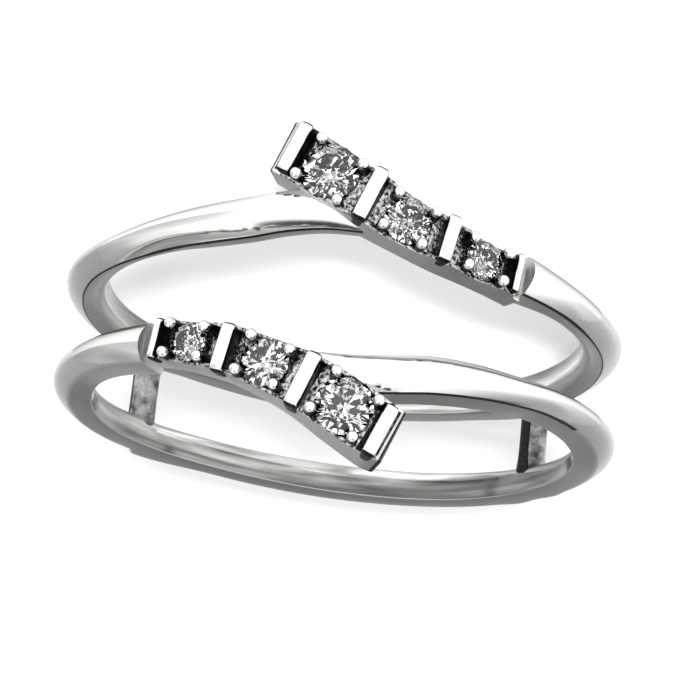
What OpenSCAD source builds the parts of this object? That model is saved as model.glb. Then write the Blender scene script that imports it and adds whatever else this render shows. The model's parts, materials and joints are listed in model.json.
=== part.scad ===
// Ring guard: two slim bands joined by two cross bars, each with an oblique bar of three stones.

/* [Finger hole] */
// Inside diameter of the ring, 17.3 for a US size 7
bore_d = 17.3; // [15.5:0.1:20.5]

/* [Bands] */
// Gap between the two bands at the back of the finger
band_gap = 2.4; // [2.2:0.05:3]
// Width of one band along the finger at the back
band_w = 1.15; // [1:0.05:1.4]
// Height of a band's flat side wall above the finger hole
band_wall = 1.1; // [1:0.05:1.3]
// Rise of the domed outer face above the side walls
dome_rise = 0.4; // [0.2:0.05:0.5]
// Angle to each cross bar from the middle of the stones
cross_at = 125; // [121:1:129]
// Thickness of a cross bar
cross_w = 0.9; // [0.7:0.05:1.1]

/* [Stones] */
// Diameter of the large stone
large_d = 1.95; // [1.8:0.05:2.05]
// Diameter of the middle stone
middle_d = 1.65; // [1.5:0.05:1.75]
// Diameter of the small stone
small_d = 1.37; // [1.2:0.05:1.45]
// Air between a stone and its seat
seat_gap = 0.04; // [0.03:0.01:0.06]
// Radius of a prong's round bead
bead_r = 0.2; // [0.16:0.01:0.22]

/* [Rest] */
// Lean of the finger's axis from upright, as the ring lies on its side
rest_lean = 10.04; // [9:0.01:11]
// Sideways lean as it lies
rest_roll = -4.48; // [-6:0.01:-3]
// Height of the ring's centre above the surface
rest_lift = 4.01; // [3.5:0.01:4.5]
// Distance of the ring's centre behind the middle of its box
rest_shift = 0.35; // [0.1:0.01:0.6]

/* [Hidden] */
bore_r = bore_d / 2;
half_gap = band_gap / 2;
step = 3;
bore_h = 14;
hole_fn = 180;

// One row for each place round a band: angle from the middle of the stones, distance from
// the ring's middle plane, width, height of the outer side wall, height of the side wall
// at the gap, rise of the dome and rounding of the inner edge at the gap. All but the
// angle and the rounding are shares of half_gap, band_w, band_wall and dome_rise.
ANGLE = 0; OFFSET = 1; WIDTH = 2; WALL = 3; GAP_WALL = 4; DOME = 5; SOFT = 6;
band_rows = [
    [-4,  1.82, 1.18, 0.74, 0.80, 0.9, 0.05],
    [4,   1.80, 1.22, 0.78, 0.82, 1.2, 0.05],
    [12,  1.67, 1.24, 0.82, 0.84, 1.4, 0.05],
    [20,  1.49, 1.25, 0.84, 0.84, 1.5, 0.05],
    [30,  1.41, 1.14, 0.86, 0.82, 1.5, 0.10],
    [40,  1.39, 1.00, 0.86, 0.80, 1.5, 0.50],
    [50,  1.31, 0.95, 0.84, 0.78, 1.5, 0.90],
    [70,  1.21, 0.98, 0.80, 0.72, 1.6, 1.00],
    [90,  1.18, 1.02, 0.80, 0.70, 1.5, 1.00],
    [110, 1.17, 0.98, 0.86, 0.75, 1.3, 0.90],
    [130, 1.15, 0.97, 0.93, 0.86, 0.8, 0.50],
    [150, 1.12, 0.96, 1.00, 0.95, 0.5, 0.15],
    [180, 0.96, 0.98, 1.12, 1.12, 0.3, 0.10],
    [210, 0.87, 0.94, 1.00, 0.95, 0.5, 0.15],
    [230, 0.83, 0.99, 0.93, 0.86, 0.8, 0.50],
    [250, 0.86, 1.02, 0.86, 0.75, 1.3, 0.90],
    [270, 0.85, 1.04, 0.80, 0.70, 1.5, 1.00],
    [290, 0.82, 1.04, 0.74, 0.72, 1.6, 1.00],
    [306, 0.88, 1.14, 0.66, 0.74, 1.7, 0.65],
    [318, 0.93, 1.30, 0.60, 0.76, 1.6, 0.15],
    [330, 0.99, 1.45, 0.55, 0.78, 1.2, 0.10]];

// The oblique bar: angle, distance of its middle line from the ring's middle plane,
// half its width, its height above the finger hole and its turn, from the small end to the
// free end.
BAR_MID = 1; BAR_HALF = 2; BAR_TOP = 3; BAR_TURN = 4;
bar_rows = [
    [-38.5, 1.66, 0.66, 0.92, 9],
    [-29.7, 1.90, 0.72, 0.92, 10],
    [-20.9, 2.19, 0.79, 0.95, 14],
    [-12.5, 2.65, 0.86, 1.00, 19],
    [-4.4,  3.21, 0.93, 1.08, 24],
    [3.8,   3.95, 0.98, 1.16, 28],
    [11.1,  4.62, 1.00, 1.18, 27],
    [12.7,  4.78, 0.98, 1.14, 27]];
bar_flare = 0.07;
bar_steps = 36;

// Seats: angle, middle line, turn of the bar there, stone, height of the stone's edge
// above the finger hole, and half the prongs' spacing along and across the bar.
SEAT_MID = 1; TURN = 2; STONE = 3; GIRDLE = 4; ALONG = 5; ACROSS = 6;
seats = [
    [3.8,   3.95, 29, large_d,  1.06, 0.83, 0.74],
    [-12.5, 2.65, 19, middle_d, 0.92, 0.71, 0.62],
    [-29.7, 1.90, 9,  small_d,  0.84, 0.70, 0.50]];
prong_r = 0.17;
bead_up = 0.3;

// Separators across the bar: angle, middle line, turn, thickness, length, top.
PLATE_T = 3; PLATE_L = 4; PLATE_TOP = 5;
plates = [
    [11.1,  4.62, 26, 0.42, 1.94, 1.52],
    [-4.4,  3.21, 24, 0.44, 1.86, 1.45],
    [-20.9, 2.19, 13, 0.42, 1.56, 1.26],
    [-37.0, 1.70, 9,  0.24, 1.30, 1.20]];

// Point at an angle from the stones, a distance along the finger and a radius.
function at(angle, along, r) = [-r * sin(angle), -r * cos(angle), along];

// Value of a column at x, by a smooth curve through the rows.
function row_of(rows, x, i = 0) =
    i >= len(rows) - 2 || x < rows[i + 1][0] ? i : row_of(rows, x, i + 1);
function slope(rows, col, i) =
    let (a = max(i - 1, 0), b = min(i + 1, len(rows) - 1))
    (rows[b][col] - rows[a][col]) / (rows[b][0] - rows[a][0]);
function value(rows, col, x) =
    let (
        i = row_of(rows, x),
        w = rows[i + 1][0] - rows[i][0],
        u = (x - rows[i][0]) / w,
        rise = rows[i + 1][col] - rows[i][col],
        s0 = slope(rows, col, i) * w,
        s1 = slope(rows, col, i + 1) * w)
    rows[i][col] + u * s0 + u * u * (3 * rise - 2 * s0 - s1) + u * u * u * (s0 + s1 - 2 * rise);

// Cross-section of a band at one angle: flat walls, domed outer face, and an inner edge
// at the gap that rounds away at the sides of the ring.
dome_steps = 8;
soft_steps = 4;
soft_drop = 0.1;
function band_section(rows, angle) =
    let (
        near = half_gap * value(rows, OFFSET, angle),
        w = band_w * value(rows, WIDTH, angle),
        wall = band_wall * value(rows, WALL, angle),
        gap_wall = band_wall * value(rows, GAP_WALL, angle),
        rise = dome_rise * value(rows, DOME, angle),
        soft = value(rows, SOFT, angle),
        soft_w = w * 0.85 * soft,
        soft_h = gap_wall * 0.95 * soft)
    concat(
        [at(angle, near + soft_w, bore_r - 0.3), at(angle, near + w, bore_r - 0.3)],
        [for (i = [0:dome_steps])
            let (u = (1 + cos(180 * i / dome_steps)) / 2)
            at(angle, near + w * u,
                bore_r + gap_wall + (wall - gap_wall) * u + rise * sin(180 * i / dome_steps))],
        [for (i = [0:soft_steps])
            at(angle, near + soft_w * (1 - cos(90 * i / soft_steps)),
                bore_r - soft_drop + (soft_h + soft_drop) * (1 - sin(90 * i / soft_steps)))]);

// Cross-section of the oblique bar, turned with it.
function bar_point(angle, across, up) =
    let (turn = value(bar_rows, BAR_TURN, angle), r = bore_r + up)
    at(angle - across * sin(turn) / r * 180 / PI,
        value(bar_rows, BAR_MID, angle) + across * cos(turn), r);
function bar_section(angle) =
    let (half = value(bar_rows, BAR_HALF, angle), top = value(bar_rows, BAR_TOP, angle))
    [bar_point(angle, -half - bar_flare, -0.3), bar_point(angle, half + bar_flare, -0.3),
        bar_point(angle, half, top), bar_point(angle, -half, top)];

// Room above the bar, where the band it grows from is cut away.
room_side = 0.04;
room_h = 2;
function room_section(angle) =
    let (
        half = value(bar_rows, BAR_HALF, angle) + room_side,
        low = value(bar_rows, BAR_TOP, angle) - room_side)
    [bar_point(angle, -half, low), bar_point(angle, half, low),
        bar_point(angle, half, low + room_h), bar_point(angle, -half, low + room_h)];

// Closed solid through a list of sections, each a ring of points.
module loft(sections) {
    n = len(sections[0]);
    last = len(sections) - 1;
    polyhedron(
        points = [for (s = sections) each s],
        faces = concat(
            [[for (i = [n - 1:-1:0]) i]],
            [for (k = [0:last - 1], i = [0:n - 1])
                [k * n + i, k * n + (i + 1) % n, (k + 1) * n + (i + 1) % n, (k + 1) * n + i]],
            [[for (i = [0:n - 1]) last * n + i]]),
        convexity = 8);
}

// Puts a piece on the bar: its x along the bar, its z straight out from the finger.
module on_bar(angle, mid, turn, up) {
    translate([0, 0, mid]) rotate([0, 0, -angle]) rotate([90, 0, 0])
        translate([0, 0, bore_r + up]) rotate([0, 0, 180 - turn]) children();
}

module band(rows) {
    first = rows[0][ANGLE];
    turns = floor((rows[len(rows) - 1][ANGLE] - first) / step);
    loft([for (i = [0:turns]) band_section(rows, first + i * step)]);
}

function bar_angle(i) =
    let (first = bar_rows[0][ANGLE], last = bar_rows[len(bar_rows) - 1][ANGLE])
    first + (last - first) * i / bar_steps;
module bar() {
    loft([for (i = [0:bar_steps]) bar_section(bar_angle(i))]);
}
module bar_room() {
    loft([for (i = [0:bar_steps]) room_section(bar_angle(i))]);
}

// Recess along the inside of the band at the back of the finger.
groove_from = 133;
groove_to = 232;
groove_w = 0.4;
groove_depth = 0.16;
function groove_section(angle) =
    let (
        mid = half_gap * value(band_rows, OFFSET, angle)
            + band_w * value(band_rows, WIDTH, angle) / 2,
        low = mid - groove_w / 2,
        high = mid + groove_w / 2)
    [at(angle, low, bore_r - 0.3), at(angle, high, bore_r - 0.3),
        at(angle, high, bore_r + groove_depth), at(angle, low, bore_r + groove_depth)];
module groove() {
    loft([for (a = [groove_from:step:groove_to]) groove_section(a)]);
}

// Solder pad that swells the band where a cross bar joins it.
pad_r = 1.3;
pad_reach = 1.4;
pad_turn = 5;
module pad(angle) {
    near = half_gap * value(band_rows, OFFSET, angle);
    w = band_w * value(band_rows, WIDTH, angle);
    translate(at(angle, near + w * 0.06, bore_r + pad_reach - pad_r))
        cylinder(r = pad_r, h = w * 0.9, $fn = 48);
}

// A raised separator.
module plate(p) {
    on_bar(p[ANGLE], p[SEAT_MID], p[TURN], 0.5)
        linear_extrude(height = p[PLATE_TOP] - 0.5)
            square([p[PLATE_T], p[PLATE_L]], center = true);
}

// Four prongs with round beads at the corners of a stone.
module prongs(s) {
    on_bar(s[ANGLE], s[SEAT_MID], s[TURN], s[GIRDLE])
        for (x = [-1, 1], y = [-1, 1])
            translate([x * s[ALONG], y * s[ACROSS], 0]) {
                translate([0, 0, -0.5]) cylinder(r = prong_r, h = 0.5 + bead_up, $fn = 24);
                translate([0, 0, bead_up]) sphere(r = bead_r, $fn = 24);
            }
}

// Room for a stone, with a hole behind it to the finger.
module seat_cut(s) {
    r = s[STONE] / 2 + seat_gap;
    on_bar(s[ANGLE], s[SEAT_MID], s[TURN], s[GIRDLE]) {
        cylinder(r = r, h = s[STONE] * 0.1, $fn = 48);
        translate([0, 0, -r * 0.9]) cylinder(r1 = r * 0.1, r2 = r, h = r * 0.9, $fn = 48);
        translate([0, 0, -2]) cylinder(r = r * 0.42, h = 2, $fn = 32);
    }
}

// Open top of a seat, and a scallop through both side walls of the bar.
scallop_r = 0.27;
module seat_opening(s) {
    on_bar(s[ANGLE], s[SEAT_MID], s[TURN], s[GIRDLE]) {
        cylinder(r = s[STONE] / 2 + seat_gap, h = 1, $fn = 48);
        translate([0, 0, s[STONE] * 0.12]) rotate([90, 0, 0])
            cylinder(r = s[STONE] * scallop_r, h = 4, center = true, $fn = 32);
    }
}

module half_guard() {
    difference() {
        union() {
            difference() {
                union() {
                    band(band_rows);
                    for (a = [-1, 1]) pad(180 + a * (180 - cross_at - pad_turn));
                }
                bar_room();
            }
            difference() {
                bar();
                for (s = seats) seat_opening(s);
            }
            for (p = plates) plate(p);
            for (s = seats) prongs(s);
        }
        for (s = seats) seat_cut(s);
        groove();
    }
}

// The two bars that join the bands at the back of the finger.
cross_in = 0.06;
cross_l = band_gap + band_w;
module cross_bars() {
    for (side = [-1, 1])
        rotate([0, 0, side * cross_at])
            translate([-cross_w / 2, -bore_r - cross_w - cross_in, -cross_l / 2])
                cube([cross_w, cross_w, cross_l]);
}

module ring_frame() color([0.86, 0.86, 0.85]) lay() difference() {
    union() {
        half_guard();
        rotate([0, 180, 0]) half_guard();
        cross_bars();
    }
    cylinder(r = bore_r, h = bore_h, center = true, $fn = hole_fn);
}

// A round brilliant: table, star, bezel and half facets above the edge, mains and
// halves below it. Radii and heights are shares of the diameter.
module stone(d) {
    table_r = 0.28;
    star_r = 0.4;
    edge = 0.02;
    crown = 0.155;
    star_z = 0.095;
    low_r = 0.12;
    pavilion = 0.43;
    eighth = [for (i = [0:7]) i * 45];
    ring = [for (i = [0:15]) i * 22.5];
    function spin(a, r, z) = [d * r * cos(a), d * r * sin(a), d * z];
    points = concat(
        [for (a = eighth) spin(a, table_r, crown)],
        [for (a = eighth) spin(a + 22.5, star_r, star_z)],
        [for (a = ring) spin(a, 0.5, edge)],
        [for (a = ring) spin(a, 0.5, 0)],
        [for (a = eighth) spin(a + 22.5, low_r, -pavilion * 0.76)],
        [[0, 0, -d * pavilion]]);
    faces = concat(
        [[for (i = [7:-1:0]) i]],
        [for (i = [0:7]) [i, (i + 1) % 8, 8 + i]],
        [for (i = [0:7]) [i, 8 + i, 16 + 2 * i]],
        [for (i = [0:7]) [i, 16 + 2 * i, 8 + (i + 7) % 8]],
        [for (i = [0:7]) [8 + i, 16 + 2 * i + 1, 16 + 2 * i]],
        [for (i = [0:7]) [8 + i, 16 + (2 * i + 2) % 16, 16 + 2 * i + 1]],
        [for (i = [0:15]) [16 + i, 16 + (i + 1) % 16, 32 + (i + 1) % 16, 32 + i]],
        [for (i = [0:7]) [32 + 2 * i, 32 + 2 * i + 1, 48 + i]],
        [for (i = [0:7]) [32 + 2 * i + 1, 32 + (2 * i + 2) % 16, 48 + i]],
        [for (i = [0:7]) [48 + i, 32 + (2 * i + 2) % 16, 48 + (i + 1) % 8]],
        [for (i = [0:7]) [48 + i, 48 + (i + 1) % 8, 56]]);
    polyhedron(points = points, faces = faces, convexity = 4);
}

module set_stone(s) {
    color([0.93, 0.95, 0.97]) on_bar(s[ANGLE], s[SEAT_MID], s[TURN], s[GIRDLE]) stone(s[STONE]);
}
module front_stone(s) lay() set_stone(s);
module rear_stone(s) lay() rotate([0, 180, 0]) set_stone(s);

// Lays the ring on its side, leaning on the end of its lower bar.
module lay() {
    translate([0, rest_shift, rest_lift]) rotate([-rest_lean, rest_roll, 0]) children();
}

ring_frame();
front_stone(seats[0]);  // front_large_stone
front_stone(seats[1]);  // front_middle_stone
front_stone(seats[2]);  // front_small_stone
rear_stone(seats[0]);  // rear_large_stone
rear_stone(seats[1]);  // rear_middle_stone
rear_stone(seats[2]);  // rear_small_stone
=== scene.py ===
import json
import math

import bmesh
import bpy
from mathutils import Matrix, Vector


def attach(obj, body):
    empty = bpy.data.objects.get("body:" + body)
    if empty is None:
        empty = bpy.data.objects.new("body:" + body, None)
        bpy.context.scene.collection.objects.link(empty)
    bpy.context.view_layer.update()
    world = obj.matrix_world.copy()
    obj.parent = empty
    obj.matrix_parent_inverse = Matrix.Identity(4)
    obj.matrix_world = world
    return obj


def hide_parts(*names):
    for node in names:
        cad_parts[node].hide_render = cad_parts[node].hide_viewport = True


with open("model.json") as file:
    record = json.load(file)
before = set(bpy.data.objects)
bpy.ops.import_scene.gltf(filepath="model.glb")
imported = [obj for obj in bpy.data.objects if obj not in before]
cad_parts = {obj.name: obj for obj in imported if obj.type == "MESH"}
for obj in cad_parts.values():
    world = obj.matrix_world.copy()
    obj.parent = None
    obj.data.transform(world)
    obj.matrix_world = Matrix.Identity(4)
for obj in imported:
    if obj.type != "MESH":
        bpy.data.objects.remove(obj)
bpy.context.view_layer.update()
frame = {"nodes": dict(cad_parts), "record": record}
scene = bpy.context.scene
mm = 0.001


# The ring's own frame, in mm: the finger runs along z and the jewels are towards -y
mounts = {m["name"]: m for m in frame["record"]["mounts"]}
holeRadius = mounts["finger_hole"]["dims"]["r_mm"]
ringCentre = Vector(mounts["finger_hole"]["pos_m"])
fingerWay = Vector(mounts["finger_hole"]["axis"]).normalized()
backWay = -Vector(mounts["ring_slot"]["axis"])
backWay = (backWay - fingerWay * backWay.dot(fingerWay)).normalized()
sideWay = backWay.cross(fingerWay)
ringPlace = Matrix.Translation(ringCentre) @ Matrix((sideWay, backWay, fingerWay)).transposed().to_4x4()
ringToWorld = ringPlace @ Matrix.Scale(mm, 4)
frontTurn = Matrix.Identity(4)
rearTurn = Matrix.Rotation(math.pi, 4, "Y")  # the rear half is the front half turned over


def onRing(angle, along, radius):
    a = math.radians(angle)
    return Vector((-radius * math.sin(a), -radius * math.cos(a), along))


def slopeAt(rows, column, i):
    a, b = max(i - 1, 0), min(i + 1, len(rows) - 1)
    return (rows[b][column] - rows[a][column]) / (rows[b][0] - rows[a][0])


def valueAt(rows, column, x):  # smooth curve through one column of a table
    i = max([k for k in range(len(rows) - 1) if rows[k][0] <= x] or [0])
    w = rows[i + 1][0] - rows[i][0]
    u = (x - rows[i][0]) / w
    rise = rows[i + 1][column] - rows[i][column]
    s0, s1 = slopeAt(rows, column, i) * w, slopeAt(rows, column, i + 1) * w
    return rows[i][column] + u * s0 + u * u * (3 * rise - 2 * s0 - s1) + u ** 3 * (s0 + s1 - 2 * rise)


def roundedOutline(corners):  # corners are (x, y, radius, steps); a radius of 0 keeps the point
    outline = []
    for i, (x, y, radius, steps) in enumerate(corners):
        p = Vector((x, y))
        if radius <= 0:
            outline.append(p)
            continue
        before = Vector(corners[i - 1][:2]) - p
        after = Vector(corners[(i + 1) % len(corners)][:2]) - p
        a = p + before.normalized() * min(radius, before.length * 0.48)
        b = p + after.normalized() * min(radius, after.length * 0.48)
        for k in range(steps + 1):
            t = k / steps
            outline.append(a * (1 - t) ** 2 + p * 2 * t * (1 - t) + b * t * t)
    return outline


def turnOutwards(mesh):
    bm = bmesh.new()
    bm.from_mesh(mesh)
    bmesh.ops.remove_doubles(bm, verts=bm.verts, dist=1e-6)
    bmesh.ops.recalc_face_normals(bm, faces=bm.faces)
    bm.to_mesh(mesh)
    bm.free()


def loftMesh(name, sections, finishes=None):  # a closed skin through sections of equal length
    n = len(sections[0])
    verts = [p for s in sections for p in s]
    faces = [[k * n + i, k * n + (i + 1) % n, (k + 1) * n + (i + 1) % n, (k + 1) * n + i]
             for k in range(len(sections) - 1) for i in range(n)]
    faces.append(list(range(n - 1, -1, -1)))
    faces.append([(len(sections) - 1) * n + i for i in range(n)])
    mesh = bpy.data.meshes.new(name)
    mesh.from_pydata(verts, [], faces)
    if finishes:
        mesh.polygons.foreach_set("material_index", finishes)
    turnOutwards(mesh)
    return mesh


def addObject(name, mesh):
    piece = bpy.data.objects.new(name, mesh)
    scene.collection.objects.link(piece)
    return piece


def bakeModifiers(piece):  # the evaluated result becomes the piece's plain mesh
    bpy.context.view_layer.update()
    shown = piece.evaluated_get(bpy.context.evaluated_depsgraph_get())
    mesh = bpy.data.meshes.new_from_object(shown)
    piece.modifiers.clear()
    piece.data = mesh


def cutAway(piece, cutter):
    mod = piece.modifiers.new("cut", "BOOLEAN")
    mod.operation = "DIFFERENCE"
    mod.solver = "MANIFOLD"
    mod.object = cutter
    bakeModifiers(piece)
    bpy.data.objects.remove(cutter)


def finishPiece(piece, turn, materials, smoothAngle):
    piece.data.transform(ringToWorld @ turn)
    for face in piece.data.polygons:
        face.use_smooth = True
    piece.data.set_sharp_from_angle(angle=math.radians(smoothAngle))
    if materials and len(piece.data.materials):  # the boolean leaves an empty slot
        piece.data.materials.clear()
    for material in materials:
        piece.data.materials.append(material)
    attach(piece, "root")
    return piece


# Materials
def hexColour(code):  # sRGB hex to linear
    parts = [int(code[i:i + 2], 16) / 255 for i in (1, 3, 5)]
    return tuple(c / 12.92 if c <= 0.04045 else ((c + 0.055) / 1.055) ** 2.4 for c in parts) + (1,)


def addNode(tree, kind, settings=None, links=None):  # stops are a ramp's places and colours
    node = tree.nodes.new(kind)
    for key, value in (settings or {}).items():
        if key == "stops":
            ramp = node.color_ramp.elements
            while len(ramp) < len(value):
                ramp.new(0.5)
            for stop, (place, colour) in zip(ramp, value):
                stop.position, stop.color = place, colour
        elif isinstance(key, int) or key in node.inputs:
            node.inputs[key].default_value = value
        else:
            setattr(node, key, value)
    for key, source in (links or {}).items():
        tree.links.new(source, node.inputs[key])
    return node


def newMaterial(name, settings):  # what is even all over is set on the shader's own sockets
    material = bpy.data.materials.new(name)
    material.use_nodes = True
    shader = material.node_tree.nodes["Principled BSDF"]
    for key, value in settings.items():
        shader.inputs[key].default_value = value
    return material, material.node_tree, shader


def toneStops(look):
    return [(look["from"], hexColour(look["low"])), (look["to"], hexColour(look["high"]))]


# Looks: grain is in mm, and drawn a little coarser than real so that it shows
mirrorLook = {"colour": "#E4E4E2", "edge": "#A4A4A2", "grain": 0.05, "grainShare": (0.3, 0.7),
              "roughness": (0.06, 0.16), "scratch": 0.012, "scratchDepth": 0.01}


def polishedWhiteGold(look):
    # Rhodium-plated 14 carat white gold, high polish: a clear neutral mirror with a faint grain
    material, tree, shader = newMaterial("polishedWhiteGold", {
        "Base Color": hexColour(look["colour"]), "Metallic": 1.0, "Specular Tint": hexColour(look["edge"])})
    place = addNode(tree, "ShaderNodeTexCoord").outputs["Object"]
    grain = addNode(tree, "ShaderNodeTexNoise", {"Scale": 1 / (look["grain"] * mm), "Detail": 3.0},
                    {"Vector": place}).outputs["Fac"]
    rough = addNode(tree, "ShaderNodeMapRange",
                    {"From Min": look["grainShare"][0], "From Max": look["grainShare"][1],
                     "To Min": look["roughness"][0], "To Max": look["roughness"][1]}, {"Value": grain})
    tree.links.new(rough.outputs["Result"], shader.inputs["Roughness"])
    bump = addNode(tree, "ShaderNodeBump",
                   {"Strength": look["scratch"], "Distance": look["scratchDepth"] * mm}, {"Height": grain})
    tree.links.new(bump.outputs["Normal"], shader.inputs["Normal"])
    return material


# As cast between the beads, where no buff reaches: a mottled grey grain, its dark tones painted shade of the
# recesses
recessShadeLook = {"low": "#2A2A2C", "high": "#C4C4C4", "from": 0.4, "to": 0.6,
            "roughness": 0.22, "grain": 0.13, "depth": 0.7}
# Tumbled on the cross bars: a cloudy grain, its soft dark patches painted reflections of the dark insides
tumbledReflectionLook = {"low": "#3C3C3E", "high": "#A6A6A6", "from": 0.36, "to": 0.62,
               "roughness": 0.24, "grain": 0.6, "depth": 0.5}
# Near black painted shade and painted dark reflections: in the tight corners, on the posts and in the fine
# lines
paintedShadeLook = {"low": "#0C0C0C", "high": "#343434", "from": 0.3, "to": 0.7,
             "roughness": 0.4, "grain": 0.1, "depth": 0.3}
# Satin from a fine wheel: an even soft grey
satinLook = {"low": "#B4B4B2", "high": "#CCCCCA", "from": 0.3, "to": 0.7,
             "roughness": 0.34, "grain": 0.05, "depth": 0.25}
# Brushed on the outer walls: a shade darker than the satin
brushedLook = {"low": "#A0A09E", "high": "#B6B6B4", "from": 0.3, "to": 0.7,
               "roughness": 0.3, "grain": 0.05, "depth": 0.25}


def toneAndGrainWhiteGold(name, look):
    # The same white gold short of a polish: a fine grain in tone and surface; for some looks the dark tones
    # are painted shade or painted reflections
    material, tree, shader = newMaterial(name, {"Metallic": 1.0, "Roughness": look["roughness"]})
    place = addNode(tree, "ShaderNodeTexCoord").outputs["Object"]
    grain = addNode(tree, "ShaderNodeTexNoise", {"Scale": 1 / (look["grain"] * mm), "Detail": 4.0},
                    {"Vector": place}).outputs["Fac"]
    tint = addNode(tree, "ShaderNodeValToRGB", {"stops": toneStops(look)}, {"Fac": grain})
    tree.links.new(tint.outputs["Color"], shader.inputs["Base Color"])
    bump = addNode(tree, "ShaderNodeBump",
                   {"Strength": look["depth"], "Distance": 0.4 * look["grain"] * mm}, {"Height": grain})
    tree.links.new(bump.outputs["Normal"], shader.inputs["Normal"])
    return material


# Streaks, partly buff marks and partly painted reflections: how often they change along the band, for each
# radian, and across it, for each mm. Towards the rim, between these distances from the middle of the gap
# in mm, the tone falls as painted shade.
innerStreakShadeLook = {"low": "#9A9A97", "high": "#EEEEEC", "from": 0.36, "to": 0.6, "roughness": 0.16,
             "along": 1.6, "across": 2.6, "shadeRim": (1.55, 2.0), "rimShadeTone": 0.36}


def streakedInnerFacePaintedShade(look):
    # White gold buffed along the band where it meets the finger: long soft streaks, partly buff marks and
    # partly painted reflections, and painted shade that darkens it towards each rim
    material, tree, shader = newMaterial("streakedInnerFacePaintedShade", {"Metallic": 1.0, "Roughness": look["roughness"]})
    place = addNode(tree, "ShaderNodeTexCoord").outputs["Object"]
    out = addNode(tree, "ShaderNodeVectorMath", {"operation": "SUBTRACT", 1: ringCentre}, {0: place})
    side, back, along = (
        addNode(tree, "ShaderNodeVectorMath", {"operation": "DOT_PRODUCT", 1: way},
                {0: out.outputs["Vector"]}).outputs["Value"]
        for way in (sideWay, backWay, fingerWay / mm * look["across"]))
    angle = addNode(tree, "ShaderNodeMath", {"operation": "ARCTAN2"}, {0: side, 1: back}).outputs[0]
    turn = addNode(tree, "ShaderNodeMath", {"operation": "MULTIPLY", 1: look["along"]}, {0: angle}).outputs[0]
    flat = addNode(tree, "ShaderNodeCombineXYZ", None, {"X": turn, "Y": along})
    streakAndReflection = addNode(tree, "ShaderNodeTexNoise", {"Scale": 1.0, "Detail": 3.0},
                     {"Vector": flat.outputs["Vector"]})
    tint = addNode(tree, "ShaderNodeValToRGB", {"stops": toneStops(look)}, {"Fac": streakAndReflection.outputs["Fac"]})
    fromMiddle = addNode(tree, "ShaderNodeMath", {"operation": "ABSOLUTE"}, {0: along}).outputs[0]
    shade = addNode(tree, "ShaderNodeMapRange",
                    {"From Min": look["shadeRim"][0] * look["across"], "From Max": look["shadeRim"][1] * look["across"],
                     "To Min": 1.0, "To Max": look["rimShadeTone"]}, {"Value": fromMiddle})
    tone = addNode(tree, "ShaderNodeVectorMath", {"operation": "SCALE"},
                   {0: tint.outputs["Color"], "Scale": shade.outputs["Result"]})
    tree.links.new(tone.outputs["Vector"], shader.inputs["Base Color"])
    return material


darkenedStoneLook = {"colour": "#9C9C9E", "gloss": "#A4A4A5", "ior": 2.417}


def cutDiamond(look):
    # Diamond, cut and polished, with a very high index that makes the facets flash; its grey tint is painted
    # shade, darker than a colourless stone
    return newMaterial("cutDiamond", {
        "Base Color": hexColour(look["colour"]), "Roughness": 0.0, "IOR": look["ior"],
        "Specular Tint": hexColour(look["gloss"]), "Transmission Weight": 1.0})[0]


boardLook = {"tone": (0.52, 0.54), "grainsPerMm": 0.9, "roughness": 0.9, "glow": "#FFFFFF",
             "glowStrength": 0.3, "halfSide": 0.4}


def paleBoard(look):
    # Matt white acrylic of a studio light table, lit a little from below
    material, tree, shader = newMaterial("paleBoard", {
        "Roughness": look["roughness"], "Emission Color": hexColour(look["glow"]),
        "Emission Strength": look["glowStrength"]})
    place = addNode(tree, "ShaderNodeTexCoord").outputs["Object"]
    grain = addNode(tree, "ShaderNodeTexNoise", {"Scale": look["grainsPerMm"] / mm, "Detail": 2.0},
                    {"Vector": place})
    tint = addNode(tree, "ShaderNodeMapRange", {"To Min": look["tone"][0], "To Max": look["tone"][1]},
                   {"Value": grain.outputs["Fac"]})
    tree.links.new(tint.outputs["Result"], shader.inputs["Base Color"])
    return material


whiteGold = polishedWhiteGold(mirrorLook)
recessShadeGold = toneAndGrainWhiteGold("asCastWhiteGoldPaintedShade", recessShadeLook)
tumbledReflectionGold = toneAndGrainWhiteGold("tumbledWhiteGoldPaintedReflections", tumbledReflectionLook)
satinGold = toneAndGrainWhiteGold("satinWhiteGold", satinLook)
brushedGold = toneAndGrainWhiteGold("brushedWhiteGold", brushedLook)
innerStreakShadeGold = streakedInnerFacePaintedShade(innerStreakShadeLook)
paintedShadeGold = toneAndGrainWhiteGold("paintedShadeWhiteGold", paintedShadeLook)
diamond = cutDiamond(darkenedStoneLook)
print("materials ready")


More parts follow.
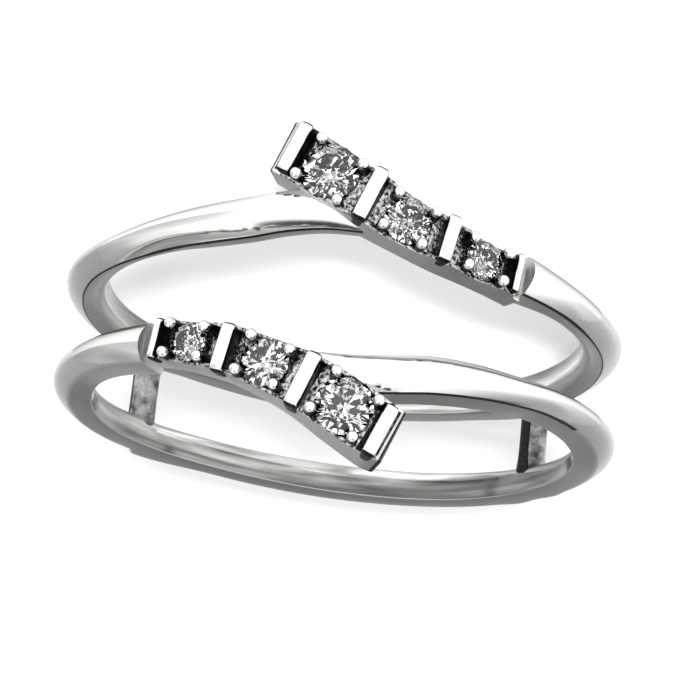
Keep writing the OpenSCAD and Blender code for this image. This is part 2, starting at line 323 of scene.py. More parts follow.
# Bands: one row for each place round a band, the angle from the middle of the stones first.
# Offset, width, walls and dome are shares of the band's sizes; soft rounds the inner edge; lean is
# how far the outer wall leans in, as a share of the width.
band = {"halfGap": 1.2, "width": 1.15, "wall": 1.1, "dome": 0.4, "step": 0.75, "domeSteps": 24,
        "softSteps": 8, "softHigh": 0.95, "edge": 0.11, "edgeSteps": 5, "innerEdge": 0.04, "innerSteps": 3,
        "grooveFrom": 133, "grooveTo": 232, "grooveWidth": 0.42, "grooveDepth": 0.16,
        "grooveSlope": 0.02, "grooveClear": 0.04, "grooveEnd": 0.15, "smoothAngle": 50}
offset, width, wall, gapWall, dome, soft, lean = 1, 2, 3, 4, 5, 6, 7
bandRows = [
    (-8, 1.84, 1.16, 0.72, 0.78, 0.3, 0.05, 0.00),
    (-4, 1.82, 1.18, 0.74, 0.80, 0.4, 0.05, 0.00),
    (4, 1.80, 1.22, 0.78, 0.82, 0.6, 0.05, 0.05),
    (12, 1.67, 1.24, 0.82, 0.84, 0.9, 0.05, 0.10),
    (20, 1.49, 1.25, 0.84, 0.84, 1.2, 0.05, 0.12),
    (30, 1.41, 1.14, 0.86, 0.82, 1.3, 0.10, 0.12),
    (40, 1.39, 1.00, 0.86, 0.80, 1.4, 0.50, 0.12),
    (50, 1.31, 0.95, 0.84, 0.78, 1.5, 0.90, 0.10),
    (70, 1.21, 0.98, 0.80, 0.72, 1.6, 1.00, 0.05),
    (90, 1.18, 1.02, 0.80, 0.70, 1.48, 1.00, 0.00),
    (110, 1.17, 0.98, 0.86, 0.75, 1.3, 0.90, 0.00),
    (130, 1.15, 0.97, 0.93, 0.86, 0.8, 0.50, 0.00),
    (150, 1.12, 0.96, 1.00, 0.95, 0.5, 0.15, 0.00),
    (180, 0.96, 0.98, 1.12, 1.12, 0.3, 0.10, 0.00),
    (210, 0.87, 0.94, 1.00, 0.95, 0.5, 0.15, 0.00),
    (230, 0.83, 0.99, 0.93, 0.86, 0.8, 0.50, 0.00),
    (250, 0.86, 1.02, 0.86, 0.75, 1.3, 0.90, 0.00),
    (270, 0.85, 1.04, 0.80, 0.70, 1.48, 1.00, 0.00),
    (290, 0.82, 1.04, 0.78, 0.72, 1.5, 1.00, 0.04),
    (306, 0.88, 1.14, 0.86, 0.84, 1.3, 0.65, 0.08),
    (318, 0.93, 1.30, 0.92, 0.90, 1.0, 0.15, 0.10),
    (330, 0.99, 1.45, 1.00, 1.00, 0.5, 0.10, 0.06)]
# Where the shoulder runs into the long side of the oblique bar its sections swing round to it
shoulder = {"from": 22, "gapEnd": -5.5, "outEnd": 10.7, "bulge": 0.9, "steps": 22,
            "dropFrom": 72, "dropOver": 34}
smallEnd = {"plainTo": 319, "gapEnd": 320.8, "outEnd": 319.7}
# Solder pads: angle of the top, height, and how far it runs out before and after
pads = [(133, 0.16, 7, 6), (120, 0.1, 5, 6), (230, 0.42, 20, 4)]
# The polished facet on each shoulder: where it ends, how round its tip is and its fine dark outline, a painted
# reflection
facet = {"tip": 66, "smallTip": 297, "round": 16, "paintedGapLineTo": 118, "paintedGapLineFrom": 245}
# Each band: angles of the dark line on its outer side (a painted reflection), how far the facet's tip
# slants, and how much lower the gap side of its shoulder is
frontStyle = {"paintedOutLine": (2, 62), "slant": 0, "drop": 0}
rearStyle = {"paintedOutLine": (28, 46), "slant": 20, "drop": 0.42}


def padRise(angle):  # the pads swell the outside of the band
    rise = 0.0
    for peak, high, before, after in pads:
        d = (angle - peak) / (before if angle < peak else after)
        rise += high * max(0.0, 1 - d * d) ** 2
    return rise


def bandSection(gapAngle, outAngle, bulge, drop):
    middle = (gapAngle + outAngle) / 2
    near = band["halfGap"] * valueAt(bandRows, offset, gapAngle)
    far = (band["halfGap"] * valueAt(bandRows, offset, outAngle)
           + band["width"] * valueAt(bandRows, width, outAngle))
    outWall = holeRadius + band["wall"] * valueAt(bandRows, wall, outAngle) + padRise(outAngle)
    inWall = holeRadius + band["wall"] * valueAt(bandRows, gapWall, gapAngle) + padRise(gapAngle)
    t = min(1.0, max(0.0, (shoulder["dropFrom"] - gapAngle) / shoulder["dropOver"]))
    inWall -= drop * t * t * (3 - 2 * t)
    rise = band["dome"] * valueAt(bandRows, dome, middle)
    softness = max(0.0, valueAt(bandRows, soft, gapAngle))
    w = far - near
    softWide, softHigh = w * 0.5 * softness, (inWall - holeRadius) * band["softHigh"] * softness
    top = w * (1 - max(0.0, valueAt(bandRows, lean, outAngle)))
    corners = [(far, holeRadius, band["innerEdge"], band["innerSteps"]),
               (near + top, outWall, band["edge"], band["edgeSteps"])]
    for i in range(1, band["domeSteps"]):
        u = 1 - i / band["domeSteps"]
        corners.append((near + top * u, inWall + (outWall - inWall) * u + rise * 4 * u * (1 - u), 0, 0))
    corners.append((near, inWall, band["edge"], band["edgeSteps"]))
    for i in range(band["softSteps"] + 1):
        a = math.radians(90 * i / band["softSteps"])
        corners.append((near + softWide * (1 - math.cos(a)), holeRadius + softHigh * (1 - math.sin(a)), 0, 0))
    deep = band["grooveDepth"] if band["grooveFrom"] < middle < band["grooveTo"] else 0
    low = max(near + w / 2 - band["grooveWidth"] / 2, near + softWide + band["grooveClear"])
    high = near + w / 2 + band["grooveWidth"] / 2
    for x, y in ((low, 0), (low + band["grooveSlope"], deep), (high - band["grooveSlope"], deep), (high, 0)):
        corners.append((x, holeRadius + y, 0, 0))
    points = []
    for along, radius in roundedOutline(corners):
        share = (along - near) / w
        angle = gapAngle + (outAngle - gapAngle) * share + bulge * 4 * share * (1 - share)
        points.append(onRing(angle, along, radius))
    return points


def bandAngles():  # the gap side's angle, the outer side's angle and the bulge of each section
    start = shoulder["from"]
    rows = []
    for i in range(shoulder["steps"]):
        t = 1 - i / shoulder["steps"]
        rows.append((start + (shoulder["gapEnd"] - start) * t, start + (shoulder["outEnd"] - start) * t,
                     shoulder["bulge"] * t))
    plain = [start + i * band["step"] for i in range(int((smallEnd["plainTo"] - start) / band["step"]))]
    for edge in (band["grooveFrom"], band["grooveTo"]):
        plain += [edge - band["grooveEnd"], edge + band["grooveEnd"]]
    rows += [(a, a, 0) for a in sorted(plain)]
    rows.append((smallEnd["gapEnd"], smallEnd["outEnd"], 0))
    return rows


# Faces round a section, counted from the foot of the outer wall
outerEdgeFrom = band["innerSteps"] + 1
domeFrom = outerEdgeFrom + band["edgeSteps"]
domeTo = domeFrom + band["domeSteps"]
gapEdgeTo = domeTo + band["edgeSteps"]
innerFrom = gapEdgeTo + 1 + band["softSteps"]
bandGold = [satinGold, whiteGold, paintedShadeGold, innerStreakShadeGold, brushedGold]
satin, polished, paintedDarkLine, innerFace, outerWall = range(5)


# Faces in the dark lines get near-black painted reflections along the edges
def bandFinish(i, angle, style):
    if i >= innerFrom:
        return innerFace
    if i < domeFrom:
        inPaintedLine = style["paintedOutLine"][0] < angle < style["paintedOutLine"][1] and (style["slant"] or i >= outerEdgeFrom)
        return paintedDarkLine if inPaintedLine else outerWall if i < outerEdgeFrom else satin
    if domeTo <= i < gapEdgeTo:
        return paintedDarkLine if angle < facet["paintedGapLineTo"] or angle > facet["paintedGapLineFrom"] else satin
    if i < domeTo:
        share = 1 - (i + 0.5 - domeFrom) / band["domeSteps"] * 2
        angle, share = angle + style["slant"] * (1 + share) / 2 * (angle < 180), abs(share)
        if angle < facet["tip"] or angle > facet["smallTip"]:
            beyond = angle - facet["tip"] if angle < facet["tip"] else facet["smallTip"] - angle
            past = beyond / facet["round"] + 1
            reach = max(0.0, 1 - max(0.0, past) ** 2) ** 0.5
            return polished if share < reach else satin
    return satin


def buildBand(name, turn, style):
    rows = bandAngles()
    sections = [bandSection(*row, style["drop"]) for row in rows]
    finishes = [bandFinish(i, (a[0] + a[1] + b[0] + b[1]) / 4, style)
                for a, b in zip(rows[:-1], rows[1:]) for i in range(len(sections[0]))] + [satin, satin]
    piece = addObject(name, loftMesh(name, sections, finishes))
    return finishPiece(piece, turn, bandGold, band["smoothAngle"])


frontBand = buildBand("frontBand", frontTurn, frontStyle)
buildBand("rearBand", rearTurn, rearStyle)
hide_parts("ring_frame")
print("bands lofted")


# Oblique bars: angle, middle line, half width, height, turn, from the small end to the free end.
# Tops count as such from a cosine of topFrom; endRim and endLine are angles near the free end.
bar = {"steps": 150, "gapFlare": 0.05, "outFlare": 0.1, "edge": 0.05, "edgeSteps": 4, "rail": 0.13,
       "railEdge": 0.03, "railSteps": 3, "shallow": 0.02, "pitDepth": 0.36, "pitSlope": 0.05, "pitEnd": 0.15,
       "pitClear": (0.1, 0.25), "dip": 0.2, "dipWidth": 0.52, "plateShare": 0.7, "endPit": (12.4, 12.8),
       "topFrom": 0.35, "endRim": 12.9, "endLine": 13.4, "near": 0.01, "smoothAngle": 40}
barMid, barHalf, barTop, barTurn = 1, 2, 3, 4
barRows = [
    (-40.4, 1.61, 0.65, 0.70, 9),
    (-38.6, 1.66, 0.66, 0.74, 9),
    (-38.0, 1.67, 0.66, 0.94, 9),
    (-29.7, 1.90, 0.72, 0.96, 10),
    (-20.9, 2.19, 0.79, 1.00, 14),
    (-12.5, 2.65, 0.86, 1.06, 19),
    (-4.4, 3.21, 0.93, 1.13, 24),
    (3.8, 3.95, 0.98, 1.20, 28),
    (11.1, 4.60, 0.98, 1.20, 25),
    (13.3, 4.74, 0.94, 1.17, 22),
    (13.75, 4.76, 0.92, 1.09, 21.5),
    (13.95, 4.77, 0.90, 0.95, 21)]
# Seats: angle, middle line, turn, stone's diameter, girdle height, prongs' half spacing along and across
seatAngle, seatMid, seatTurn, seatStone, seatGirdle, seatAlong, seatAcross = range(7)
seats = [
    (3.8, 3.95, 29, 1.95, 1.06, 0.83, 0.74),
    (-12.5, 2.65, 19, 1.65, 0.92, 0.71, 0.62),
    (-29.7, 1.90, 9, 1.37, 0.84, 0.70, 0.50)]
seatCut = {"clear": 0.02, "hole": 0.42, "depth": 0.58, "through": 2, "above": 1, "sides": 64}
# Separators: angle, middle line, turn, thickness, length, top
plates = [
    (10.9, 4.60, 22, 0.42, 1.78, 1.46),
    (-4.4, 3.21, 20, 0.46, 1.88, 1.45),
    (-20.9, 2.19, 11, 0.42, 1.58, 1.28),
    (-37.0, 1.70, 9, 0.24, 1.30, 1.20)]
plateShape = {"roundness": 0.97, "low": 0.5, "levels": 3, "grow": 1.2, "shift": 0.05, "longer": 0.14,
              "wallFrom": 0.45, "smoothAngle": 60}
prong = {"radius": 0.195, "bead": 0.2, "beadUp": 0.3, "down": 0.6, "sides": 20, "rings": 12,
         "smoothAngle": 60}


def barPoint(angle, across, up):
    turn = math.radians(valueAt(barRows, barTurn, angle))
    radius = holeRadius + up
    return onRing(angle - math.degrees(across * math.sin(turn) / radius),
                  valueAt(barRows, barMid, angle) + across * math.cos(turn), radius)


def barTopAt(angle, side):  # the side walls dip beside each stone, but not against the shoulder
    top = valueAt(barRows, barTop, angle)
    for s in seats[1:] if side < 0 else seats:
        reach = math.radians(angle - s[seatAngle]) * holeRadius / (s[seatStone] * bar["dipWidth"])
        top -= bar["dip"] * max(0.0, 1 - reach * reach) ** 0.5
    return top


def barSection(angle, deep):
    half = valueAt(barRows, barHalf, angle)
    gapTop, outTop = barTopAt(angle, -1), barTopAt(angle, 1)
    floor = min(gapTop - bar["near"], outTop - bar["near"], valueAt(barRows, barTop, angle) - deep)
    pitHalf, foot = half - bar["rail"], half - bar["rail"] - bar["pitSlope"]
    corners = [(-half - bar["gapFlare"], 0, 0, 0), (half + bar["outFlare"], 0, 0, 0),
               (half, outTop, bar["edge"], bar["edgeSteps"]),
               (pitHalf, outTop, bar["railEdge"], bar["railSteps"]),
               (foot, floor, 0, 0), (-foot, floor, 0, 0),
               (-pitHalf, gapTop, bar["railEdge"], bar["railSteps"]),
               (-half, gapTop, bar["edge"], bar["edgeSteps"])]
    return [barPoint(angle, p.x, p.y) for p in roundedOutline(corners)]


def barSections():
    first, last = barRows[0][0], barRows[-1][0]
    stops = [(first + (last - first) * i / bar["steps"], None) for i in range(bar["steps"] + 1)]
    pits = []
    for lower, upper in zip(plates[1:], plates[:-1]):  # a pit between each two separators
        reach = [math.degrees(p[3] / 2 * bar["plateShare"] / holeRadius) for p in (lower, upper)]
        pits.append((lower[0] + reach[0], upper[0] - reach[1]))
    pits.append(bar["endPit"])
    for low, high in pits:
        stops += [(low, bar["shallow"]), (low + bar["pitEnd"], bar["pitDepth"]),
                  (high - bar["pitEnd"], bar["pitDepth"]), (high, bar["shallow"])]
    outside, inside = bar["pitClear"]
    sections = []
    for angle, deep in sorted(stops, key=lambda s: s[0]):
        if deep is None:
            if any(low - outside < angle < low + inside or high - inside < angle < high + outside
                   for low, high in pits):
                continue
            deep = bar["pitDepth"] if any(low < angle < high for low, high in pits) else bar["shallow"]
        sections.append(barSection(angle, deep))
    return sections


def onBar(angle, mid, turn, up):  # x along the bar, z straight out from the finger
    return (Matrix.Translation((0, 0, mid)) @ Matrix.Rotation(math.radians(-angle), 4, "Z")
            @ Matrix.Rotation(math.radians(90), 4, "X") @ Matrix.Translation((0, 0, holeRadius + up))
            @ Matrix.Rotation(math.radians(180 - turn), 4, "Z"))


def seatCutter(seat):  # a cone for the stone above a round hole through the bar
    place = onBar(seat[seatAngle], seat[seatMid], seat[seatTurn], seat[seatGirdle])
    r = seat[seatStone] / 2 + seatCut["clear"]
    profile = [(r * seatCut["hole"], -seatCut["through"]), (r * seatCut["hole"], -r * seatCut["depth"]),
               (r, 0), (r, seatCut["above"])]
    turns = [2 * math.pi * i / seatCut["sides"] for i in range(seatCut["sides"])]
    rings = [[place @ Vector((radius * math.cos(t), radius * math.sin(t), z)) for t in turns]
             for radius, z in profile]
    return addObject("cutter", loftMesh("cutter", rings))


# Bar finishes: polished tops, recess faces toned with painted shade, near-black painted shade, satin walls
barGold = [whiteGold, recessShadeGold, paintedShadeGold, satinGold]
polishedTop, paintedRecessShade, paintedCornerShade, barWall = range(4)


def barFinish(face):
    c = face.center
    radius = c.to_2d().length
    isTop = face.normal.to_2d().dot(c.to_2d().normalized()) > bar["topFrom"]
    around = math.degrees(math.atan2(-c.x, -c.y))
    angle = around
    for _ in range(8):  # the bar's own angle at this face, closer each time
        angle = min(max(angle, barRows[0][0]), barRows[-1][0])
        turn = math.radians(valueAt(barRows, barTurn, angle))
        across = (c.z - valueAt(barRows, barMid, angle)) / math.cos(turn)
        angle = around + math.degrees(across * math.sin(turn) / radius)
    up = radius - holeRadius
    edge = valueAt(barRows, barHalf, angle) - (bar["near"] if across > 0 else bar["rail"] - bar["near"])
    if (abs(across) > edge or not plates[-1][0] < angle < bar["endPit"][1]
            or not bar["shallow"] < up < valueAt(barRows, barTop, angle) + bar["near"]):
        # Past endLine the faces get near-black painted shade
        if angle > bar["endLine"]:
            return paintedCornerShade
        if isTop and any(p[0] < angle < q[0] for p, q in zip(plates[1:], plates[:-1])):
            return paintedRecessShade
        return polishedTop if isTop and angle < bar["endRim"] else barWall
    # Faces under the separators get near-black painted shade
    beside = min(abs(angle - p[0]) * math.radians(radius) - p[3] * plateShape["grow"] / 2 for p in plates)
    return paintedCornerShade if beside < 0 else paintedRecessShade


def buildBar(name, turn):
    piece = addObject(name, loftMesh(name, barSections()))
    for seat in seats:
        cutAway(piece, seatCutter(seat))
    finishes = [barFinish(face) for face in piece.data.polygons]
    finishPiece(piece, turn, barGold, bar["smoothAngle"])
    for face, finish in zip(piece.data.polygons, finishes):
        face.material_index = finish


buildBar("frontBar", frontTurn)
buildBar("rearBar", rearTurn)
print("bars cut")


# Prongs and separators repeat along the bars, so Geometry Nodes set them on points
def pointMesh(name, places, sizes):  # one point for each copy, with its turn and its size
    mesh = bpy.data.meshes.new(name)
    mesh.from_pydata([p.to_translation() for p in places], [], [])
    turns = mesh.attributes.new("turn", "FLOAT_VECTOR", "POINT")
    scales = mesh.attributes.new("size", "FLOAT_VECTOR", "POINT")
    for i, place in enumerate(places):
        turns.data[i].vector = place.to_euler()
        scales.data[i].vector = sizes[i]
    return mesh


def newTree(name, numbers, materials):
    tree = bpy.data.node_groups.new(name, "GeometryNodeTree")
    tree.interface.new_socket("Geometry", in_out="INPUT", socket_type="NodeSocketGeometry")
    tree.interface.new_socket("Geometry", in_out="OUTPUT", socket_type="NodeSocketGeometry")
    for key, value in numbers.items():
        kind = "NodeSocketInt" if isinstance(value, int) else "NodeSocketFloat"
        tree.interface.new_socket(key, in_out="INPUT", socket_type=kind).default_value = value
    for key in materials:
        tree.interface.new_socket(key, in_out="INPUT", socket_type="NodeSocketMaterial")
    return tree, addNode(tree, "NodeGroupInput").outputs


def copyOntoPoints(tree, points, shape):  # copies turned and scaled by the points' attributes
    turn, size = (addNode(tree, "GeometryNodeInputNamedAttribute", {"data_type": "FLOAT_VECTOR", "Name": name})
                  for name in ("turn", "size"))
    copies = addNode(tree, "GeometryNodeInstanceOnPoints", None,
                     {"Points": points, "Instance": shape, "Rotation": turn.outputs["Attribute"],
                      "Scale": size.outputs["Attribute"]})
    real = addNode(tree, "GeometryNodeRealizeInstances", None, {"Geometry": copies.outputs["Instances"]})
    smooth = addNode(tree, "GeometryNodeSetShadeSmooth", {"Shade Smooth": True},
                     {"Geometry": real.outputs["Geometry"]})
    addNode(tree, "NodeGroupOutput", None, {"Geometry": smooth.outputs["Geometry"]})
    return tree


# The posts are near black: painted shade under the beads
def prongTree():  # a dark post with a polished bead on it
    tree, given = newTree("prongs", {"Radius": 0.1, "Bead": 0.1, "Down": 0.1, "Sides": 8, "Rings": 6},
                          ("Material", "Post shade material"))
    rod = addNode(tree, "GeometryNodeMeshCylinder", {"fill_type": "NGON"},
                  {"Vertices": given["Sides"], "Radius": given["Radius"], "Depth": given["Down"]})
    half = addNode(tree, "ShaderNodeMath", {"operation": "MULTIPLY", 1: -0.5}, {0: given["Down"]})
    down = addNode(tree, "ShaderNodeCombineXYZ", None, {"Z": half.outputs[0]})
    lowered = addNode(tree, "GeometryNodeTransform", None,
                      {"Geometry": rod.outputs["Mesh"], "Translation": down.outputs["Vector"]})
    ball = addNode(tree, "GeometryNodeMeshUVSphere", None,
                   {"Segments": given["Sides"], "Rings": given["Rings"], "Radius": given["Bead"]})
    both = addNode(tree, "GeometryNodeJoinGeometry")
    for shape, material in ((lowered.outputs["Geometry"], "Post shade material"),
                            (ball.outputs["Mesh"], "Material")):
        coat = addNode(tree, "GeometryNodeSetMaterial", None, {"Geometry": shape, "Material": given[material]})
        tree.links.new(coat.outputs["Geometry"], both.inputs["Geometry"])
    return copyOntoPoints(tree, given["Geometry"], both.outputs["Geometry"])


# The separators' dark walls are painted shade
def plateTree():  # a softened block, polished on top and dark on its walls
    tree, given = newTree("separators", {"Roundness": 0.5, "Levels": 3, "Wall from": 0.45},
                          ("Material", "Wall shade material"))
    block = addNode(tree, "GeometryNodeMeshCube",
                    {"Size": (1, 1, 1), "Vertices X": 3, "Vertices Y": 6, "Vertices Z": 4})
    crease = addNode(tree, "ShaderNodeMath", {"operation": "SUBTRACT", 0: 1.0}, {1: given["Roundness"]})
    soft = addNode(tree, "GeometryNodeSubdivisionSurface", None,
                   {"Mesh": block.outputs["Mesh"], "Level": given["Levels"], "Edge Crease": crease.outputs[0]})
    coat = addNode(tree, "GeometryNodeSetMaterial", None,
                   {"Geometry": soft.outputs["Mesh"], "Material": given["Material"]})
    place = addNode(tree, "GeometryNodeInputPosition").outputs["Position"]
    away = addNode(tree, "ShaderNodeVectorMath", {"operation": "ABSOLUTE"}, {0: place}).outputs["Vector"]
    sides = addNode(tree, "ShaderNodeSeparateXYZ", None, {"Vector": away}).outputs
    widest = addNode(tree, "ShaderNodeMath", {"operation": "MAXIMUM"}, {0: sides["X"], 1: sides["Y"]})
    isWall = addNode(tree, "FunctionNodeCompare", {"operation": "GREATER_THAN"},
                     {0: widest.outputs[0], 1: given["Wall from"]})
    walls = addNode(tree, "GeometryNodeSetMaterial", None,
                    {"Geometry": coat.outputs["Geometry"], "Selection": isWall.outputs["Result"],
                     "Material": given["Wall shade material"]})
    return copyOntoPoints(tree, given["Geometry"], walls.outputs["Geometry"])


def growOnPoints(name, mesh, tree, inputs, turn, smoothAngle):
    piece = addObject(name, mesh)
    mod = piece.modifiers.new("grow", "NODES")
    mod.node_group = tree
    sockets = {i.name: i.identifier for i in tree.interface.items_tree if i.in_out == "INPUT"}
    for key, value in inputs.items():
        mod[sockets[key]] = value
    bakeModifiers(piece)
    finishPiece(piece, turn, [], smoothAngle)


prongSpots = [onBar(s[seatAngle], s[seatMid], s[seatTurn], s[seatGirdle] + prong["beadUp"])
              @ Matrix.Translation((x * s[seatAlong], y * s[seatAcross], 0))
              for s in seats for x in (-1, 1) for y in (-1, 1)]
plateSpots = [onBar(angle, mid + plateShape["shift"], turn, (top + plateShape["low"]) / 2)
              for angle, mid, turn, thick, long, top in plates]
plateSizes = [(thick * plateShape["grow"], long + plateShape["longer"], top - plateShape["low"])
              for angle, mid, turn, thick, long, top in plates]
prongInputs = {"Radius": prong["radius"], "Bead": prong["bead"], "Down": prong["down"],
               "Sides": prong["sides"], "Rings": prong["rings"],
               "Post shade material": paintedShadeGold, "Material": whiteGold}
plateInputs = {"Roundness": plateShape["roundness"], "Levels": plateShape["levels"],
               "Wall from": plateShape["wallFrom"], "Wall shade material": paintedShadeGold, "Material": whiteGold}
prongNodes, plateNodes = prongTree(), plateTree()
for side, turn in (("front", frontTurn), ("rear", rearTurn)):
    growOnPoints(side + "Prongs", pointMesh("prongs", prongSpots, [(1, 1, 1)] * len(prongSpots)), prongNodes,
                 prongInputs, turn, prong["smoothAngle"])
    growOnPoints(side + "Separators", pointMesh("separators", plateSpots, plateSizes), plateNodes,
                 plateInputs, turn, plateShape["smoothAngle"])
print("prongs and separators set")


# Cross bars at the back of the finger, each soldered on with a wider foot at both ends. Some faces
# of each are near black as painted reflections, counted round its section from the first inner corner.
crossBar = {"angle": 125, "width": 0.9, "endWidth": 1.2, "length": 3.5, "edge": 0.36, "edgeSteps": 6,
            "steps": 16, "leftPaintedDark": range(21, 26), "rightPaintedDark": range(3, 9), "smoothAngle": 50}


def buildCrossBar(name, side, dark):
    spin = Matrix.Rotation(math.radians(side * crossBar["angle"]), 4, "Z")
    low, high = holeRadius, holeRadius + crossBar["width"]
    sections = []
    for i in range(crossBar["steps"] + 1):
        u = 2 * i / crossBar["steps"] - 1
        half = (crossBar["width"] + (crossBar["endWidth"] - crossBar["width"]) * u ** 4) / 2
        corners = [(x, y, crossBar["edge"], crossBar["edgeSteps"])
                   for x, y in ((-half, low), (half, low), (half, high), (-half, high))]
        sections.append([spin @ Vector((p.x, -p.y, u * crossBar["length"] / 2))
                         for p in roundedOutline(corners)])
    finishes = [int(i in dark) for _ in range(crossBar["steps"]) for i in range(len(sections[0]))] + [0, 0]
    finishPiece(addObject(name, loftMesh(name, sections, finishes)), frontTurn, [tumbledReflectionGold, paintedShadeGold],
                crossBar["smoothAngle"])


buildCrossBar("leftCrossBar", 1, crossBar["leftPaintedDark"])
buildCrossBar("rightCrossBar", -1, crossBar["rightPaintedDark"])
print("cross bars made")


# Stones: the frame's own cut stones, with the diamond on them
for name, node in frame["nodes"].items():
    if name.endswith("_stone"):
        node.data.materials.clear()
        node.data.materials.append(diamond)
        for face in node.data.polygons:
            face.use_smooth = False
print("stones dressed")


def buildFloor():
    bm = bmesh.new()
    bmesh.ops.create_grid(bm, x_segments=1, y_segments=1, size=boardLook["halfSide"])
    mesh = bpy.data.meshes.new("floor")
    bm.to_mesh(mesh)
    bm.free()
    mesh.materials.append(paleBoard(boardLook))
    floor = addObject("floor", mesh)


buildFloor()


# Camera, at the photo's angle to the ring: distance in mm, angles in degrees
view = {"distance": 90, "turn": 2.04, "height": 73.47, "roll": -6.31, "lens": 128.3, "sensor": 36,
        "shift": (0.0169, 0.0328), "clip": (0.001, 10)}


def buildCamera():
    h, turn, roll = (math.radians(view[k]) for k in ("height", "turn", "roll"))
    # Right, away along the finger and up to the jewels, as the photo shows the ring
    away = Matrix(((-1, 0, 0), (0, 0, -1), (0, -1, 0)))
    swing = Matrix(((math.cos(turn), 0, math.sin(turn)), (0, 1, 0), (-math.sin(turn), 0, math.cos(turn))))
    back = swing @ Vector((0, -math.cos(h), math.sin(h)))
    right = swing @ Vector((1, 0, 0))
    up = swing @ Vector((0, math.sin(h), math.cos(h)))
    across = right * math.cos(roll) - up * math.sin(roll)
    above = right * math.sin(roll) + up * math.cos(roll)
    axes = [(ringPlace.to_3x3() @ (away @ v)).normalized() for v in (across, above, back)]
    camera = bpy.data.cameras.new("camera")
    camera.lens, camera.sensor_width = view["lens"], view["sensor"]
    camera.shift_x, camera.shift_y = view["shift"]
    camera.clip_start, camera.clip_end = view["clip"]
    holder = bpy.data.objects.new("camera", camera)
    scene.collection.objects.link(holder)
    holder.matrix_world = (Matrix.Translation(ringCentre + axes[2] * view["distance"] * mm)
                           @ Matrix(axes).transposed().to_4x4())
    scene.camera = holder


buildCamera()


# A softbox low in front lights the floor; the tent alone shows in the metal
softbox = {"place": (-0.021, -0.276, 0.112), "size": (0.07, 0.02), "watts": 2.4}


def buildSoftbox():
    light = bpy.data.lights.new("frontSoftbox", "AREA")
    light.shape, light.energy = "RECTANGLE", softbox["watts"]
    light.size, light.size_y = softbox["size"]
    holder = bpy.data.objects.new("frontSoftbox", light)
    scene.collection.objects.link(holder)
    holder.visible_glossy = holder.visible_transmission = False
    holder.location = softbox["place"]
    holder.rotation_euler = (-Vector(softbox["place"])).to_track_quat("-Z", "Y").to_euler()


buildSoftbox()


# A light tent: bright in front and overhead, greyer behind and on one side, with a dark card high
# behind and a dark spot overhead. The stones see it as small black and white cards. Each list is
# (place along the axis, brightness).
tent = {"byDepth": ((0.0, 1.42), (0.2, 1.42), (0.34, 1.06), (0.6, 0.86), (0.8, 0.7), (1.0, 0.46)),
        "bySide": ((0.55, 1.0), (0.72, 0.72), (0.95, 0.55)),
        "byMiddle": ((0.1, 0.58), (0.2, 0.72), (0.4, 1.0)),
        "byHeight": ((0.36, 1.0), (0.44, 0.66), (0.64, 0.66), (0.72, 1.0)),
        "behind": (0.3, 0.6), "roof": 1.35, "roofHeight": (0.7, 0.84),
        "card": 0.08, "cardSide": ((0.26, 1.0), (0.36, 0.0)), "cardMiddle": 0.14,
        "cardHigh": ((0.44, 0.0), (0.48, 1.0), (0.6, 1.0), (0.64, 0.0)),
        "spot": 0.06, "spotWay": (-0.2, 0.0, 0.98), "spotEdge": ((0.951, 0.0), (0.982, 1.0)),
        "patches": ((0.5, 0.0), (0.53, 0.4), (0.57, 4.5)), "patchScale": 6.0}


def grey(level):
    return (level, level, level, 1)


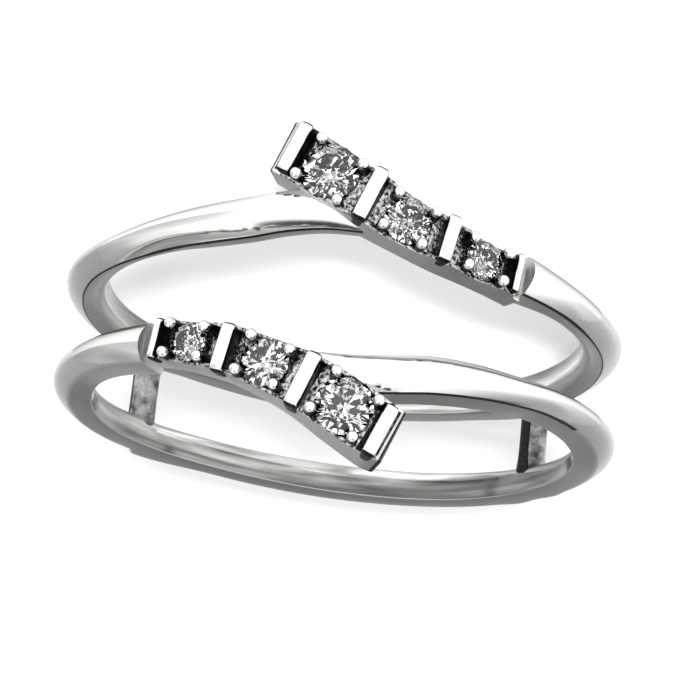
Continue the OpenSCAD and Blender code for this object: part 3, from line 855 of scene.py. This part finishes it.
def buildTent():
    world = bpy.data.worlds.new("tent")
    scene.world = world
    world.use_nodes = True
    tree = world.node_tree
    way = addNode(tree, "ShaderNodeTexCoord").outputs["Generated"]
    x, y, z = addNode(tree, "ShaderNodeSeparateXYZ", None, {"Vector": way}).outputs
    behind, roof = (
        addNode(tree, "ShaderNodeMapRange", {"From Min": tent[key][0], "From Max": tent[key][1]},
                {"Value": value}).outputs["Result"] for key, value in (("behind", y), ("roofHeight", z)))
    fromMiddle = addNode(tree, "ShaderNodeMath", {"operation": "ABSOLUTE"}, {0: x}).outputs[0]
    moved = addNode(tree, "ShaderNodeMath", {"operation": "ADD", 1: tent["cardMiddle"]}, {0: x}).outputs[0]
    aside = addNode(tree, "ShaderNodeMath", {"operation": "ABSOLUTE"}, {0: moved}).outputs[0]
    toSpot = addNode(tree, "ShaderNodeVectorMath", {"operation": "DOT_PRODUCT", 1: tent["spotWay"]}, {0: way})
    noise = addNode(tree, "ShaderNodeTexNoise", {"Scale": tent["patchScale"], "Detail": 1.0}, {"Vector": way})
    ramps = {}
    for key, value in (("byDepth", y), ("bySide", x), ("byMiddle", fromMiddle), ("byHeight", z),
                       ("cardSide", aside), ("cardHigh", z), ("spotEdge", toSpot.outputs["Value"]),
                       ("patches", noise.outputs["Fac"])):
        stops = [(place, grey(level)) for place, level in tent[key]]
        ramps[key] = addNode(tree, "ShaderNodeValToRGB", {"stops": stops}, {"Fac": value}).outputs["Color"]
    card = ramps["cardSide"]
    for share in (ramps["cardHigh"], behind):
        card = addNode(tree, "ShaderNodeMath", {"operation": "MULTIPLY"}, {0: card, 1: share}).outputs[0]
    inStone = addNode(tree, "ShaderNodeLightPath").outputs["Is Transmission Ray"]
    # Each layer: how it blends, its own colour where it is even, and what drives its share and colour
    colour = ramps["byDepth"]
    for kind, even, driven in (
            ("MULTIPLY", {0: 1.0}, {7: ramps["bySide"]}),
            ("MULTIPLY", {}, {0: behind, 7: ramps["byMiddle"]}),
            ("MULTIPLY", {}, {0: behind, 7: ramps["byHeight"]}),
            ("MIX", {7: grey(tent["card"])}, {0: card}),
            ("MIX", {7: grey(tent["roof"])}, {0: roof}),
            ("MIX", {7: grey(tent["spot"])}, {0: ramps["spotEdge"]}),
            ("MIX", {}, {0: inStone, 7: ramps["patches"]})):
        settings = {"data_type": "RGBA", "blend_type": kind, **even}
        colour = addNode(tree, "ShaderNodeMix", settings, {6: colour, **driven}).outputs[2]
    tree.links.new(colour, tree.nodes["Background"].inputs["Color"])


buildTent()
scene.view_settings.view_transform = "Standard"
print("camera and light set")
